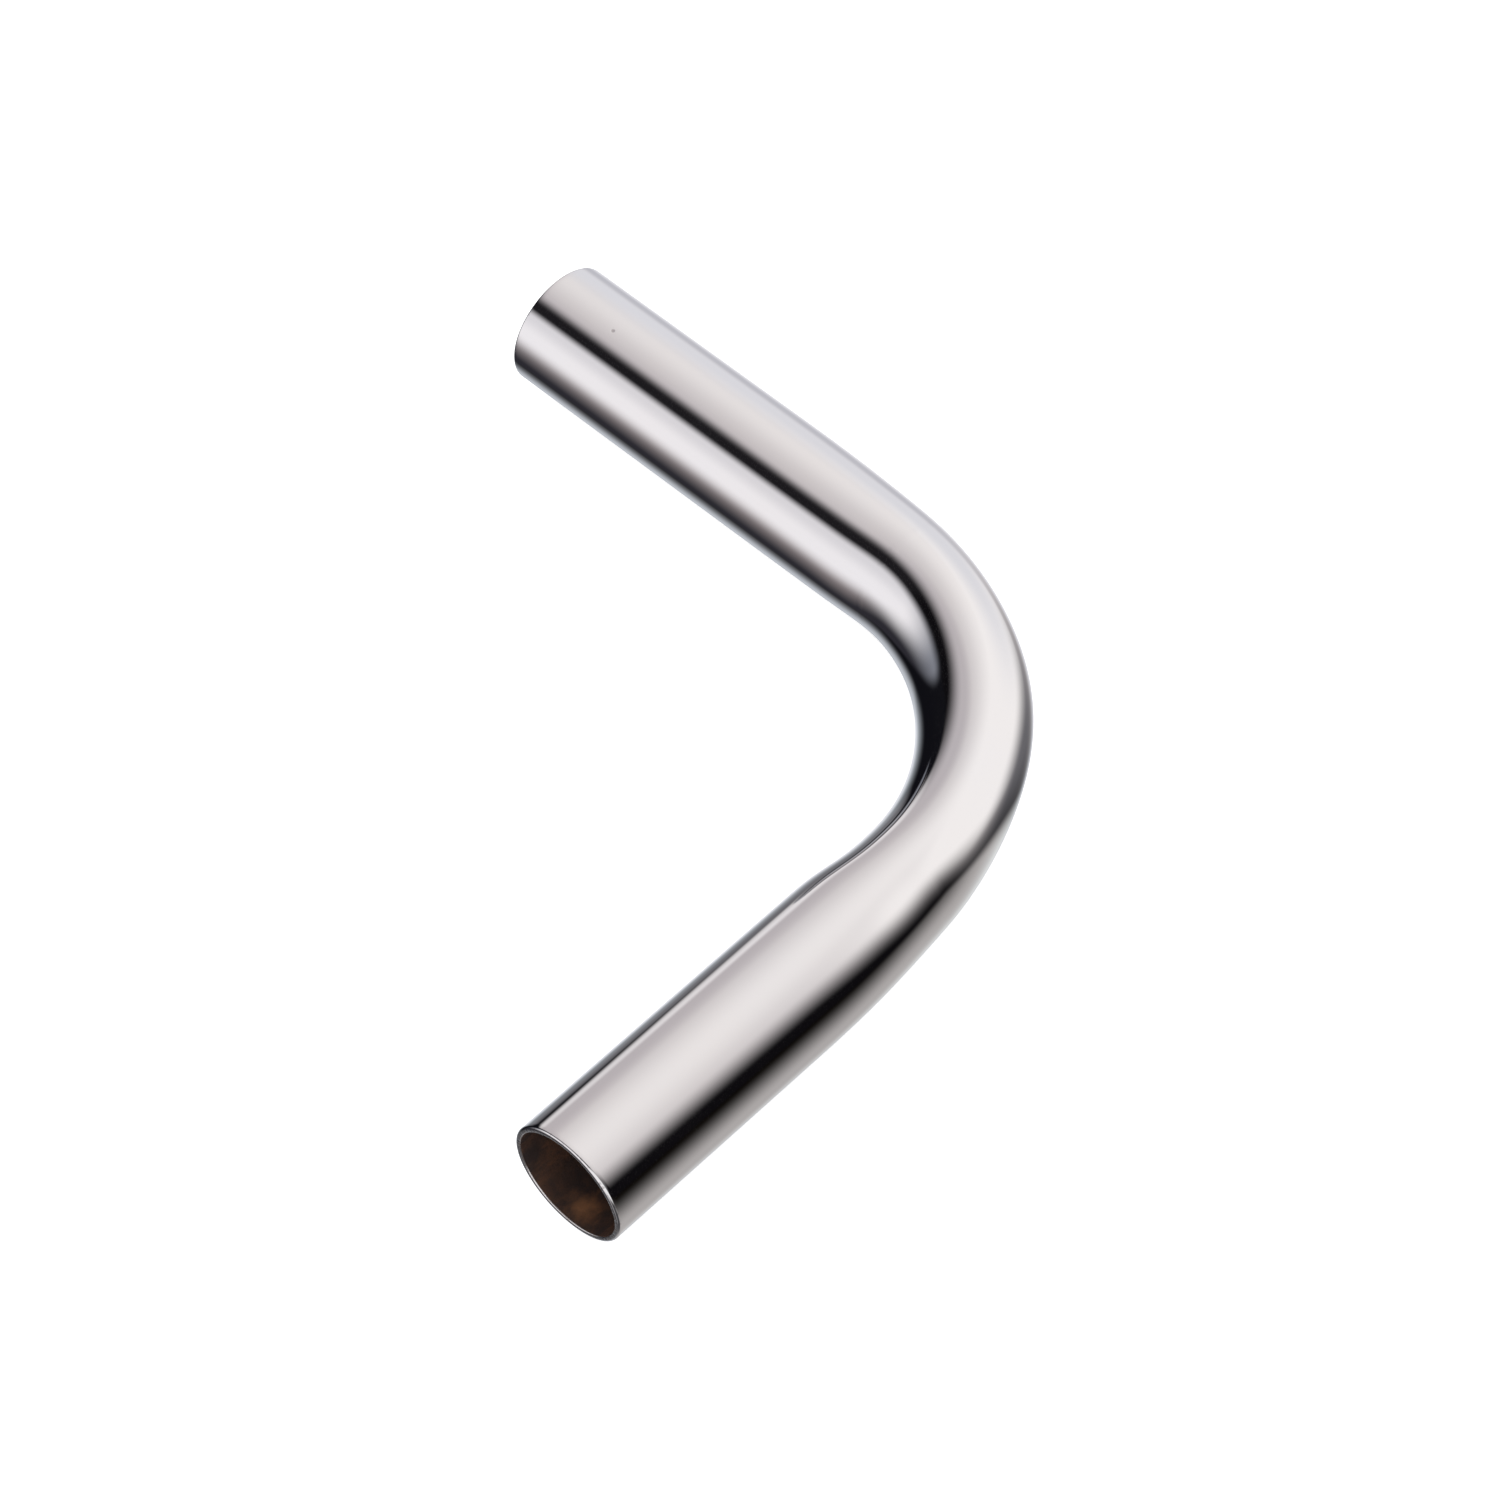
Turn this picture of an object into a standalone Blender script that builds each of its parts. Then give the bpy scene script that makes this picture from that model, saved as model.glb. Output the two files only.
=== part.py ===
"""Bent waste tube of a basin trap: one length of plated brass tube with a single 90 degree bend.

Metres, +Z up. The tube lies flat, as it would on a bench: its bend is in the XY plane, and its
lowest line touches z = 0. The origin is under the middle of its bounding box. The trap leg runs
along X, to its open end at -X, and the wall leg runs along Y, to its open end at -Y.
"""
import math

import bmesh
import bpy
from mathutils import Vector

# Driving dimensions
OUTER_DIAMETER = 0.032          # 1-1/4 inch (DN 32) slip-joint waste tube
WALL = 0.0015                   # thickness of the brass
LEG = 0.110                     # straight length of each leg, from its open end to the bend
BEND_RADIUS = 0.067             # of the tube's centre line
BEND_ANGLE = math.radians(90)

# How the bend presses the walls in, as the tube was bent with nothing inside it. Each wall sinks
# in two smooth steps (depth, where the step begins, where it ends) and then returns to round
# (where that begins, where it ends). Places are measured along the tube from the bend's start.
BACK_STEPS = ((0.0031, -0.040, 0.039), (0.0028, 0.035, 0.106))  # outer side, the stretched wall
BACK_RETURN = (0.061, 0.151)
THROAT_STEPS = ((0.0008, -0.011, 0.019), (0.0011, 0.036, 0.126))  # inner side, squeezed
THROAT_RETURN = (0.106, 0.128)

# Finish of the sawn ends
RIM_ROUNDING = 0.0004           # radius that the deburred edges are rounded to
RIM_STEPS = 2

# Mesh
SIDES = 48                      # facets around the tube
RING_STEP = 0.005               # largest distance between rings where the tube isn't straight

NAME = "bent_waste_tube"
RADIUS = OUTER_DIAMETER / 2
BEND_LENGTH = BEND_RADIUS * BEND_ANGLE
BEND_CENTRE = (LEG - BEND_RADIUS - RADIUS) / 2  # its x and its y: centres the bounding box


def clear_scene():
    """Remove whatever the file opened with."""
    for item in list(bpy.data.objects):
        bpy.data.objects.remove(item, do_unlink=True)


def chrome():
    """Bright chrome plate, with the warm tone of a studio."""
    material = bpy.data.materials.new("chrome_plate")
    material.use_nodes = True
    shader = material.node_tree.nodes["Principled BSDF"]
    shader.inputs["Base Color"].default_value = (0.80, 0.78, 0.77, 1.0)
    shader.inputs["Metallic"].default_value = 1.0
    shader.inputs["Roughness"].default_value = 0.08
    return material


def eased(start, end, s):
    """0 before start, 1 after end, and a smooth step between them."""
    t = min(max((s - start) / (end - start), 0.0), 1.0)
    return t * t * t * (t * (6 * t - 15) + 10)


def sink(s, steps, back_out):
    """How far a wall is pressed towards the centre line, s along the tube from the bend's start."""
    depth = sum(depth * eased(start, end, s) for depth, start, end in steps)
    return depth * (1 - eased(*back_out, s))


def pressed(s, across):
    """Where a point of the round tube goes: across is its distance to the back's side."""
    back = sink(s, BACK_STEPS, BACK_RETURN)
    throat = sink(s, THROAT_STEPS, THROAT_RETURN)
    share = across / RADIUS
    return across - share * (back + throat) / 2 - share * share * (back - throat) / 2


def bent(s, across, height):
    """A point of the straight tube, taken round the bend."""
    angle = min(max(s / BEND_RADIUS, 0.0), BEND_ANGLE)
    beyond = s - angle * BEND_RADIUS
    outwards = Vector((math.sin(angle), math.cos(angle), 0))
    forwards = Vector((math.cos(angle), -math.sin(angle), 0))
    centre = Vector((BEND_CENTRE, BEND_CENTRE, RADIUS + height))
    return centre + outwards * (BEND_RADIUS + across) + forwards * beyond


def ring_places():
    """Distances along the tube: its two ends, and close rings wherever it bends or is pressed."""
    first, last = BACK_STEPS[0][1], BACK_RETURN[1]
    count = math.ceil((last - first) / RING_STEP)
    close = [first + (last - first) * i / count for i in range(count + 1)]
    return [-LEG] + close + [BEND_LENGTH + LEG]


def tube_skin():
    """The tube's outer surface, drawn straight along X ring by ring, then pressed and bent."""
    places = ring_places()
    skin = bmesh.new()
    circle = bmesh.ops.create_circle(skin, cap_ends=False, segments=SIDES, radius=RADIUS)
    for corner in circle["verts"]:
        corner.co = Vector((places[0], corner.co.x, corner.co.y))
    edges = list(skin.edges)
    for here, after in zip(places, places[1:]):
        drawn = bmesh.ops.extrude_edge_only(skin, edges=edges)["geom"]
        corners = [item for item in drawn if isinstance(item, bmesh.types.BMVert)]
        edges = [item for item in drawn if isinstance(item, bmesh.types.BMEdge)]
        bmesh.ops.translate(skin, verts=corners, vec=(after - here, 0, 0))
    for corner in skin.verts:
        s, across, height = corner.co
        corner.co = bent(s, pressed(s, across), height)
    return skin


def bent_tube(collection):
    """The whole tube: the skin gets its wall thickness inwards, and its rims are deburred."""
    skin = tube_skin()
    mesh = bpy.data.meshes.new("bent_tube")
    skin.to_mesh(mesh)
    skin.free()
    mesh.shade_smooth()
    mesh.materials.append(chrome())
    tube = bpy.data.objects.new("bent_tube", mesh)
    collection.objects.link(tube)
    wall = tube.modifiers.new("wall", "SOLIDIFY")
    wall.thickness = WALL
    wall.offset = -1
    wall.use_even_offset = True
    rims = tube.modifiers.new("rims", "BEVEL")
    rims.width = RIM_ROUNDING
    rims.segments = RIM_STEPS
    rims.limit_method = "ANGLE"
    rims.angle_limit = math.radians(60)
    return tube


def main():
    clear_scene()
    collection = bpy.data.collections.new(NAME)
    bpy.context.scene.collection.children.link(collection)
    bent_tube(collection)


main()
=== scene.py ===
"""Looks of a bent waste tube: chrome-plated brass, browned inside, on a pale studio floor."""
import math

import bpy
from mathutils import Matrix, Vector


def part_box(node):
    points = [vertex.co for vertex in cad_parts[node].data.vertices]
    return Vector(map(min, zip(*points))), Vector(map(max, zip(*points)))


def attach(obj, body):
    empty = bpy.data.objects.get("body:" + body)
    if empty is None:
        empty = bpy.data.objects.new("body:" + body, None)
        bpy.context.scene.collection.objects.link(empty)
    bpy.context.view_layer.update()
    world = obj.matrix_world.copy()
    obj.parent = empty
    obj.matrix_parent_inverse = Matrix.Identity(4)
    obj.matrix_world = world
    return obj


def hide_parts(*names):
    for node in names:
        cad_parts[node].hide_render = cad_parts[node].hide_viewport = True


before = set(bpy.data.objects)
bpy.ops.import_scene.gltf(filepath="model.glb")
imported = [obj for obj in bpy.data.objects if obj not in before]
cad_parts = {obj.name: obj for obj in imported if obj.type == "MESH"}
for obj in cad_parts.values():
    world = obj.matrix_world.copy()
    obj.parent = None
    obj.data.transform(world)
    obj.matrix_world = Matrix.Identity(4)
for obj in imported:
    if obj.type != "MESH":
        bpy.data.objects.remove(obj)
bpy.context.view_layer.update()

# The tube, in metres. Its diameter and its place come from the CAD solid's box.
lowest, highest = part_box("bent_tube")
RADIUS = (highest.z - lowest.z) / 2
WALL = 0.0015
LEG = 0.110
BEND_RADIUS = 0.067
IN_FROM_CORNER = RADIUS + BEND_RADIUS
BEND_CENTRE = Vector((highest.x - IN_FROM_CORNER, highest.y - IN_FROM_CORNER, lowest.z + RADIUS))
BEND_LENGTH = BEND_RADIUS * math.pi / 2

# How the bend presses the walls in: two smooth steps each (depth, where the step begins, where it
# ends), then back to round (begins, ends), all measured along the tube from the bend's start.
# These numbers were fitted by a program and rounded.
BACK_STEPS = ((0.0031, -0.040, 0.039), (0.0028, 0.035, 0.106))
BACK_RETURN = (0.061, 0.151)
THROAT_STEPS = ((0.0008, -0.011, 0.019), (0.0011, 0.036, 0.126))
THROAT_RETURN = (0.106, 0.128)

# The curve of the centre line comes on and goes off over this distance each side of the bend's ends
LEAD_IN = 0.006

# Fineness of the mesh
SIDES = 128
BEND_STEPS = 104                # rings round the bend
RING = BEND_LENGTH / BEND_STEPS
END_RING = 0.0015               # a ring this far from each rim keeps the reflections straight
OUTER_ROUNDING = 0.0006         # the cutter rolls the outer edge over
INNER_ROUNDING = 0.0003         # and the inner edge is deburred
EDGE_STEPS = 6                  # faces across each rounded edge
MERGE = 0.00001                 # points nearer than this are made one
SLACK = 0.00002                 # how near a point counts as on a plane or a circle

# Marks on the plate, by their places on the straight tube: along it, towards the back, up
GRIP = 0.009
PIT = (-0.0886, -0.0024, 0.0158)

# Heights of the finish's relief, in metres
RIPPLE = 0.000006
DRAW_LINES = 0.0000004
TOOL_RING = 0.00001
PIT_DEPTH = 0.00006
SAW_MARKS = 0.00008

# Specks in the plate beside each rim: how far from it they begin, and where they are strongest
STAINED_EDGE = 0.0012
FULL_STAIN = 0.0002

# Camera: where it looks, from which side, how high and how far away
AIM = Vector((0.0281, 0.0174, 0.016))
AZIMUTH = 43.38
ELEVATION = 53.42
DISTANCE = 1.2453
LENS = 128.6

# The studio
WHITE = (1.0, 1.0, 1.0)
WARM_WHITE = (0.93, 0.90, 0.89)
DARK = (0.004, 0.0035, 0.0045)
FLOOR_SIZE = 12
FLOOR_GAP = 0.0001              # the floor lies this far under the tube


# The tube's shape

def eased(start, end, s):
    """0 before start, 1 after end, and a smooth step between them."""
    t = min(max((s - start) / (end - start), 0.0), 1.0)
    return t * t * t * (t * (6 * t - 15) + 10)


def sink(s, steps, back_out):
    """How far a wall is pressed towards the centre line, s along the tube from the bend's start."""
    depth = sum(depth * eased(start, end, s) for depth, start, end in steps)
    return depth * (1 - eased(*back_out, s))


def pressed(s, across):
    """Where a point of the round tube goes: across is its distance from the axis to the back."""
    back = sink(s, BACK_STEPS, BACK_RETURN)
    throat = sink(s, THROAT_STEPS, THROAT_RETURN)
    share = across / RADIUS
    return across - share * (back + throat) / 2 - share * share * (back - throat) / 2


def lead_in(s):
    """How far the centre line is moved inwards so that its curve begins and ends gradually."""
    t = min(max(min(s, BEND_LENGTH - s) / LEAD_IN + 1, 0.0), 2.0)
    share = t ** 3 / 2 if t < 1 else 1 - (2 - t) ** 3 / 2
    return share * LEAD_IN ** 2 / (6 * BEND_RADIUS)


def unbent(point):
    """(along, across, height) of a point of the bent tube, as if the tube were still straight."""
    x, y, height = point - BEND_CENTRE
    if x <= 0:
        return Vector((x, y - BEND_RADIUS, height))
    if y <= 0:
        return Vector((BEND_LENGTH - y, x - BEND_RADIUS, height))
    return Vector((math.atan2(x, y) * BEND_RADIUS, math.hypot(x, y) - BEND_RADIUS, height))


def bent(s, across, height):
    """A point of the straight tube, taken round the bend."""
    angle = min(max(s / BEND_RADIUS, 0.0), math.pi / 2)
    beyond = s - angle * BEND_RADIUS
    outwards = Vector((math.sin(angle), math.cos(angle), 0))
    forwards = Vector((math.cos(angle), -math.sin(angle), 0))
    return BEND_CENTRE + outwards * (BEND_RADIUS + across) + forwards * beyond + Vector((0, 0, height))


def draw_out(x, y, rings=1):
    """Extrude the open end's ring of edges by this much, in equal steps."""
    for _ in range(rings):
        bpy.ops.mesh.extrude_region_move(TRANSFORM_OT_translate={"value": (x / rings, y / rings, 0)})


def tube_skin():
    """The outer skin: a ring drawn out along one leg, spun round the bend and drawn out again."""
    bpy.ops.object.select_all(action="DESELECT")
    bpy.ops.mesh.primitive_circle_add(
        vertices=SIDES, radius=RADIUS, rotation=(0, math.pi / 2, 0),
        location=BEND_CENTRE + Vector((-LEG, BEND_RADIUS, 0)))
    bpy.ops.object.transform_apply(location=True, rotation=True, scale=True)
    skin = bpy.context.object
    rings_in = math.ceil(-BACK_STEPS[0][1] / RING)
    rings_out = math.ceil((BACK_RETURN[1] - BEND_LENGTH) / RING)
    bpy.ops.object.mode_set(mode="EDIT")
    bpy.ops.mesh.select_all(action="SELECT")
    draw_out(END_RING, 0)
    draw_out(LEG - END_RING - rings_in * RING, 0)
    draw_out(rings_in * RING, 0, rings_in)
    bpy.ops.mesh.spin(steps=BEND_STEPS, angle=math.pi / 2, center=BEND_CENTRE, axis=(0, 0, 1))
    draw_out(0, -rings_out * RING, rings_out)
    draw_out(0, -(LEG - END_RING - rings_out * RING))
    draw_out(0, -END_RING)
    bpy.ops.mesh.select_all(action="SELECT")
    bpy.ops.mesh.remove_doubles(threshold=MERGE)
    bpy.ops.mesh.normals_make_consistent(inside=False)
    bpy.ops.object.mode_set(mode="OBJECT")
    return skin


def press_bend(skin):
    """Press the bend's walls in, and keep each point's place on the straight tube as an attribute."""
    straight = skin.data.attributes.new("straight", "FLOAT_VECTOR", "POINT")
    for vertex in skin.data.vertices:
        s, across, height = unbent(vertex.co)
        straight.data[vertex.index].vector = (s, across, height)
        vertex.co = bent(s, pressed(s, across) - lead_in(s), height)


def thicken(skin):
    """Give the skin its wall, inwards. The inner wall takes slot 1 and the two rims slot 2."""
    wall = skin.modifiers.new("wall", "SOLIDIFY")
    wall.thickness = WALL
    wall.offset = -1
    wall.use_even_offset = True
    wall.material_offset = 1
    wall.material_offset_rim = 2
    bpy.ops.object.modifier_apply(modifier="wall")


def roll_edge(tube, radius, rounding, slot):
    """Round the edges of this radius at both open ends, with faces of this material slot."""
    bpy.ops.object.mode_set(mode="EDIT")
    bpy.ops.mesh.select_mode(type="VERT")
    bpy.ops.mesh.select_all(action="DESELECT")
    bpy.ops.object.mode_set(mode="OBJECT")
    for vertex in tube.data.vertices:
        s, across, height = unbent(vertex.co)
        at_end = min(s + LEG, BEND_LENGTH + LEG - s) < SLACK
        vertex.select = at_end and abs(math.hypot(across, height) - radius) < SLACK
    bpy.ops.object.mode_set(mode="EDIT")
    bpy.ops.mesh.select_mode(type="EDGE")
    bpy.ops.mesh.bevel(offset=rounding, segments=EDGE_STEPS, affect="EDGES", material=slot)
    bpy.ops.object.mode_set(mode="OBJECT")


# Finishes

class Recipe:
    """A node tree, with short ways to add a node and to join its sockets."""

    def __init__(self, tree):
        self.tree = tree

    def feed(self, socket, value):
        """Join a socket to another node's output, or give it a plain value."""
        if isinstance(value, bpy.types.NodeSocket):
            self.tree.links.new(value, socket)
        elif socket.type == "RGBA":
            socket.default_value = (*value, 1.0)
        else:
            socket.default_value = value

    def node(self, kind, inputs, **settings):
        """A new shader node of this kind, with its settings made and its inputs fed."""
        made = self.tree.nodes.new("ShaderNode" + kind)
        for name, value in settings.items():
            setattr(made, name, value)
        for socket, value in inputs.items():
            self.feed(made.inputs[socket], value)
        return made

    def sum(self, operation, first, second=0.0):
        """The result of one step of arithmetic, named as the Math node names it."""
        return self.node("Math", {0: first, 1: second}, operation=operation).outputs[0]

    def step(self, value, start, end, low=0.0, high=1.0):
        """A smooth step from low to high as the value goes from start to end."""
        ends = {"Value": value, "From Min": start, "From Max": end, "To Min": low, "To Max": high}
        return self.node("MapRange", ends, interpolation_type="SMOOTHSTEP").outputs["Result"]

    def mix_add(self, value, factor, base):
        """The value times the factor, plus the base."""
        return self.node("Math", {0: value, 1: factor, 2: base}, operation="MULTIPLY_ADD").outputs[0]

    def noise(self, place, scale, detail=3.0, rough=0.55, warp=0.0):
        """A cloudy pattern, from about 0 to 1, with this many patches to one unit of the place."""
        made = {"Vector": place, "Scale": scale, "Detail": detail, "Roughness": rough, "Distortion": warp}
        return self.node("TexNoise", made).outputs["Fac"]

    def stretched(self, place, along, around):
        """The place scaled so that a pattern is drawn out along the tube or around it."""
        return self.node("Mapping", {"Vector": place, "Scale": (along, around, around)}).outputs[0]

    def blend(self, share, first, second):
        """A colour mixed from two, by a share from 0 to 1."""
        mixed = self.node("Mix", {}, data_type="RGBA")
        self.feed(mixed.inputs["Factor"], share)
        self.feed(mixed.inputs[6], first)
        self.feed(mixed.inputs[7], second)
        return mixed.outputs[2]

    def bump(self, height, depth, under=None):
        """A bump of this many metres, laid over the one under it."""
        inputs = {"Height": height, "Distance": depth, "Strength": 1.0}
        if under is not None:
            inputs["Normal"] = under
        return self.node("Bump", inputs).outputs[0]


def finish_named(name):
    """A new material, its recipe, its shader and each point's place on the straight tube."""
    material = bpy.data.materials.new(name)
    material.use_nodes = True
    recipe = Recipe(material.node_tree)
    place = recipe.node("Attribute", {}, attribute_name="straight").outputs["Vector"]
    return material, recipe, material.node_tree.nodes["Principled BSDF"], place


def chrome_plate():
    """Bright plate over polished tube: smears, draw and polishing lines, ripple, a tool mark, a pit."""
    material, recipe, shader, place = finish_named("chrome_plate")
    smears = recipe.step(recipe.noise(place, 45, 4, 0.6, 0.6), 0.50, 0.72)
    polish = recipe.noise(recipe.stretched(place, 2600, 60), 1.0, 2)
    draw = recipe.noise(recipe.stretched(place, 12, 1500), 1.0, 3)
    ripple = recipe.noise(recipe.stretched(place, 45, 150), 1.0, 2)
    tint = recipe.blend(recipe.noise(place, 22, 3), (0.95, 0.93, 0.92), (0.93, 0.93, 0.945))
    recipe.feed(shader.inputs["Base Color"], recipe.blend(dull(recipe, place), tint, (0.62, 0.60, 0.60)))
    recipe.feed(shader.inputs["Metallic"], 1.0)
    haze = recipe.mix_add(smears, 0.025, 0.03)
    recipe.feed(shader.inputs["Roughness"], recipe.mix_add(polish, 0.02, haze))
    relief = recipe.bump(ripple, RIPPLE)
    relief = recipe.bump(draw, DRAW_LINES, relief)
    relief = recipe.bump(tool_mark(recipe, place), TOOL_RING, relief)
    recipe.feed(shader.inputs["Normal"], recipe.bump(pit(recipe, place), -PIT_DEPTH, relief))
    return material


def tool_mark(recipe, place):
    """1 on the faint ring that the bending tool left where it gripped the tube."""
    along = recipe.node("SeparateXYZ", {0: place}).outputs[0]
    uneven = recipe.mix_add(recipe.noise(place, 120, 3), 0.004, along)
    away = recipe.sum("ABSOLUTE", recipe.sum("SUBTRACT", uneven, GRIP))
    return recipe.step(away, 0.0002, 0.0016, 1, 0)


def pit(recipe, place):
    """1 in the one small pit in the plate, near the trap end on top."""
    away = recipe.node("VectorMath", {0: place, 1: PIT}, operation="DISTANCE").outputs["Value"]
    return recipe.step(away, 0.0002, 0.0007, 1, 0)


def dull(recipe, place):
    """1 where the plate is thin and stained: in the pit and in specks beside the sawn rims."""
    along = recipe.node("SeparateXYZ", {0: place}).outputs[0]
    from_middle = recipe.sum("ABSOLUTE", recipe.sum("SUBTRACT", along, BEND_LENGTH / 2))
    rim = BEND_LENGTH / 2 + LEG
    near_rim = recipe.step(from_middle, rim - STAINED_EDGE, rim - FULL_STAIN)
    specks = recipe.step(recipe.noise(place, 900, 3), 0.55, 0.75)
    return recipe.sum("MAXIMUM", pit(recipe, place), recipe.sum("MULTIPLY", near_rim, specks))


def browned_brass():
    """Bare brass left to brown inside the tube, mottled, with faint water lines along it, and a painted
    pool of light low inside the wall end.
    """
    material, recipe, shader, place = finish_named("browned_brass")
    mottle = recipe.noise(recipe.stretched(place, 90, 130), 1.0, 5, 0.6, 0.5)
    lines = recipe.noise(recipe.stretched(place, 14, 420), 1.0, 4, 0.6)
    tarnish = recipe.noise(place, 1400, 4, 0.65)
    brown = recipe.blend(recipe.step(mottle, 0.38, 0.70), (0.050, 0.033, 0.030), (0.135, 0.065, 0.038))
    brown = recipe.blend(recipe.step(lines, 0.45, 0.85, 0, 0.45), brown, (0.035, 0.030, 0.026))
    brown = recipe.blend(recipe.step(tarnish, 0.50, 0.75, 0, 0.5), brown, (0.030, 0.024, 0.022))
    # Painted light: a brighter orange patch low inside the wall end, where light falls in through the
    # opening
    brown = recipe.blend(painted_light_inside_end(recipe, place), brown, (0.42, 0.19, 0.085))
    recipe.feed(shader.inputs["Base Color"], brown)
    recipe.feed(shader.inputs["Metallic"], 0.35)
    recipe.feed(shader.inputs["Roughness"], recipe.step(tarnish, 0.3, 0.7, 0.40, 0.62))
    relief = recipe.bump(mottle, 0.00006)
    relief = recipe.bump(lines, 0.00001, relief)
    recipe.feed(shader.inputs["Normal"], recipe.bump(tarnish, 0.000015, relief))
    return material


def painted_light_inside_end(recipe, place):
    """1 in a painted pool of light low inside the wall end, where light falls in through the opening,
    with a ragged soft edge.
    """
    middle = (BEND_LENGTH + LEG - 0.0045, 0, RADIUS * -0.9)
    away = recipe.node("VectorMath", {0: place, 1: middle}, operation="DISTANCE").outputs["Value"]
    ragged = recipe.mix_add(recipe.noise(place, 260, 4), 0.006, away)
    return recipe.step(ragged, 0.0035, 0.0085, 0.75, 0)


def sawn_rim():
    """The deburred edge of the wall: plate over saw marks, a little duller than the tube."""
    material, recipe, shader, place = finish_named("sawn_rim")
    saw = recipe.noise(recipe.stretched(place, 400, 1300), 1.0, 2)
    wear = recipe.noise(place, 500, 3)
    tint = recipe.blend(recipe.step(wear, 0.45, 0.7), (0.86, 0.83, 0.82), (0.62, 0.54, 0.47))
    recipe.feed(shader.inputs["Base Color"], tint)
    recipe.feed(shader.inputs["Metallic"], 1.0)
    recipe.feed(shader.inputs["Roughness"], recipe.step(wear, 0.3, 0.7, 0.12, 0.3))
    recipe.feed(shader.inputs["Normal"], recipe.bump(saw, SAW_MARKS))
    return material


# The studio

def towards(azimuth, elevation):
    """A direction from degrees: azimuth anticlockwise from +X, seen from above, and elevation."""
    a, e = math.radians(azimuth), math.radians(elevation)
    return Vector((math.cos(a) * math.cos(e), math.sin(a) * math.cos(e), math.sin(e)))


class Room(Recipe):
    """The colour that the plate mirrors in each direction."""

    def __init__(self, tree):
        super().__init__(tree)
        self.way = self.node("TexCoord", {}).outputs["Generated"]

    def disc(self, azimuth, elevation, half_angle, edge):
        """1 inside a round patch of the room and 0 outside, over an edge this many degrees wide."""
        facing = {0: self.way, 1: towards(azimuth, elevation)}
        cosine = self.node("VectorMath", facing, operation="DOT_PRODUCT").outputs["Value"]
        angle = self.sum("ARCCOSINE", cosine)
        inner = math.radians(half_angle - edge / 2)
        outer = math.radians(half_angle + edge / 2)
        return self.step(angle, inner, outer, 1, 0)

    def overlap(self, first, second):
        """1 where two patches are both 1."""
        return self.sum("MULTIPLY", first, second)


def overhead_light(room, behind):
    """The big soft light overhead: brighter at the back, greyer to the left, dim near the horizon."""
    light = room.blend(room.disc(75, 15, 42, 8), (0.61, 0.575, 0.58), WARM_WHITE)
    light = room.blend(room.disc(90, 45, 31, 52), light, WARM_WHITE)
    light = room.blend(room.disc(74, -36, 22, 34), light, (0.14, 0.137, 0.148))
    light = room.blend(room.disc(214, -6, 69, 15), light, (0.50, 0.465, 0.48))
    light = room.blend(room.disc(112, 6, 22, 34), light, (0.73, 0.73, 0.77))
    light = room.blend(room.disc(118, -18, 11, 16), light, (0.53, 0.53, 0.575))
    light = room.blend(room.disc(160, -4, 12, 10), light, (0.85, 0.82, 0.83))
    reach = room.overlap(room.disc(114, 25, 77, 20), room.disc(81, 30, 82, 20))
    return room.blend(reach, behind, light)


def back_wall(room, behind):
    """Low at the back: a dark part to the left and, under it, a white wall."""
    wall = room.blend(room.disc(190, -22, 36, 5), behind, (0.005, 0.005, 0.007))
    wall = room.blend(room.disc(148, -18, 11, 6), wall, (0.15, 0.148, 0.16))
    wall = room.blend(room.disc(141, -51, 18, 42), wall, (0.80, 0.86, 0.93))
    return room.blend(room.disc(130, -46, 16, 22), wall, (0.80, 0.80, 0.84))


def table_top(room, behind):
    """The lit table: white at the back, bluish to the left and dark to the right."""
    table = room.blend(room.disc(125, -39, 30, 40), (0.43, 0.41, 0.405), (0.84, 0.87, 0.875))
    table = room.blend(room.disc(180, -61, 26, 28), table, (0.52, 0.545, 0.59))
    table = room.blend(room.disc(30, 3, 35, 50), table, (0.004, 0.003, 0.002))
    reach = room.overlap(room.disc(-60, -42, 82, 5), room.disc(67, -41, 70, 40))
    return room.blend(reach, behind, table)


def side_light(room, behind):
    """The light to the left of the tube, shaded at its far edge and below, and dim floor beside it."""
    light = room.blend(room.disc(225, 50, 30, 24), (0.885, 0.865, 0.885), (0.72, 0.705, 0.735))
    light = room.blend(room.disc(128, 3, 79, 24), light, (0.22, 0.23, 0.265))
    light = room.blend(room.disc(246, -35, 21, 32), light, (0.296, 0.26, 0.263))
    light = room.blend(room.disc(183, -53, 48, 37), light, (0.026, 0.025, 0.032))
    reach = room.overlap(room.disc(253, 3, 61, 6), room.disc(278, -47, 96, 13))
    lit = room.blend(reach, behind, light)
    return room.blend(room.disc(316, -42, 30, 24), lit, (0.06, 0.06, 0.065))


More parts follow.
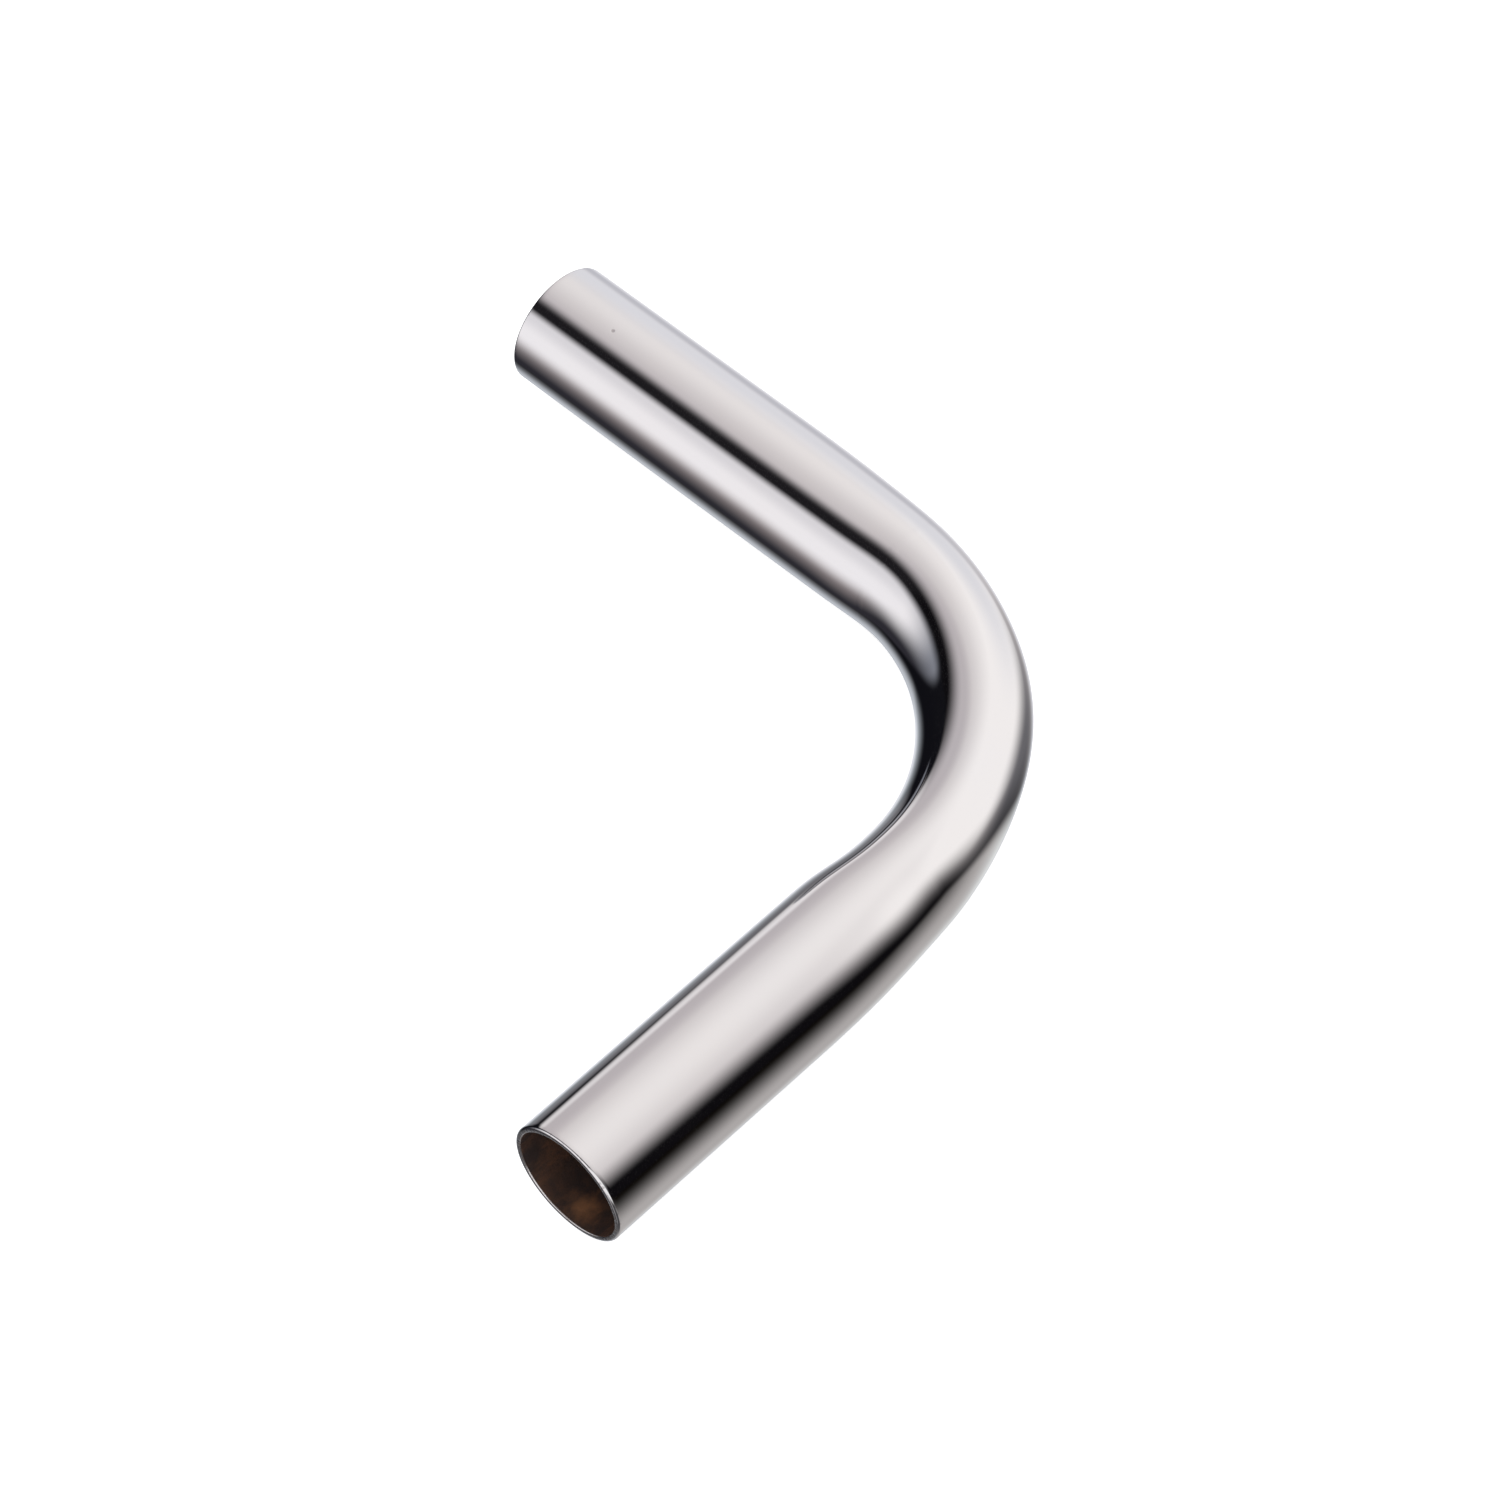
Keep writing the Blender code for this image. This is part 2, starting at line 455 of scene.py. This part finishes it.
def studio_lights():
    """The room that the plate mirrors: soft lights over and beside the tube, and the lit table.

    Most patches' directions, sizes and colours were fitted by a program, rounded, and partly
    changed.
    """
    world = bpy.data.worlds.new("studio")
    bpy.context.scene.world = world
    world.use_nodes = True
    world.node_tree.nodes.clear()
    room = Room(world.node_tree)

    # The room is dark, a little less so high on the left
    seen = room.blend(room.disc(222, 50, 14, 12), DARK, (0.012, 0.011, 0.013))
    seen = overhead_light(room, seen)
    seen = back_wall(room, seen)
    seen = table_top(room, seen)
    seen = side_light(room, seen)
    # A small light to the right of the camera
    seen = room.blend(room.disc(338, 24, 32, 14), seen, (0.85, 0.85, 0.86))

    mirrored = room.node("Background", {"Color": seen}).outputs[0]
    plain = room.node("Background", {"Color": WHITE}).outputs[0]
    glossy = room.node("LightPath", {}).outputs["Is Glossy Ray"]
    shown = room.node("MixShader", {0: glossy, 1: plain, 2: mirrored}).outputs[0]
    room.node("OutputWorld", {"Surface": shown})


def studio_floor():
    """A white floor just under the tube. The plate mirrors the studio instead of it."""
    bpy.ops.object.select_all(action="DESELECT")
    bpy.ops.mesh.primitive_plane_add(size=FLOOR_SIZE, location=(0, 0, lowest.z - FLOOR_GAP))
    plane = bpy.context.object
    plane.name = "studio_floor"
    material = bpy.data.materials.new("white_floor")
    material.use_nodes = True
    shader = material.node_tree.nodes["Principled BSDF"]
    shader.inputs["Base Color"].default_value = (*WHITE, 1)
    shader.inputs["Roughness"].default_value = 0.9
    shader.inputs["Emission Color"].default_value = (*WHITE, 1)
    shader.inputs["Emission Strength"].default_value = 0.6
    plane.data.materials.append(material)
    plane.visible_glossy = False


def studio_camera():
    """A long lens that looks down on the tube from the front right."""
    a, e = math.radians(AZIMUTH), math.radians(ELEVATION)
    back = Vector((math.sin(a) * math.cos(e), -math.cos(a) * math.cos(e), math.sin(e)))
    camera = bpy.data.objects.new("camera", bpy.data.cameras.new("camera"))
    camera.data.lens = LENS
    camera.data.clip_start = 0.05
    camera.data.clip_end = 50
    camera.location = AIM + back * DISTANCE
    camera.rotation_mode = "QUATERNION"
    camera.rotation_quaternion = (-back).to_track_quat("-Z", "Y")
    bpy.context.scene.collection.objects.link(camera)
    bpy.context.scene.camera = camera


def plated_tube():
    """The whole tube, with its wall, its rounded rims and its three finishes."""
    tube = tube_skin()
    tube.name = "plated_tube"
    press_bend(tube)
    for material in (chrome_plate(), browned_brass(), sawn_rim()):
        tube.data.materials.append(material)
    thicken(tube)
    roll_edge(tube, RADIUS, OUTER_ROUNDING, 0)
    roll_edge(tube, RADIUS - WALL, INNER_ROUNDING, 2)
    bpy.ops.object.shade_smooth()
    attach(tube, "root")
    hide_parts("bent_tube")


studio_camera()
plated_tube()
studio_lights()
studio_floor()
bpy.context.scene.view_settings.view_transform = "Standard"
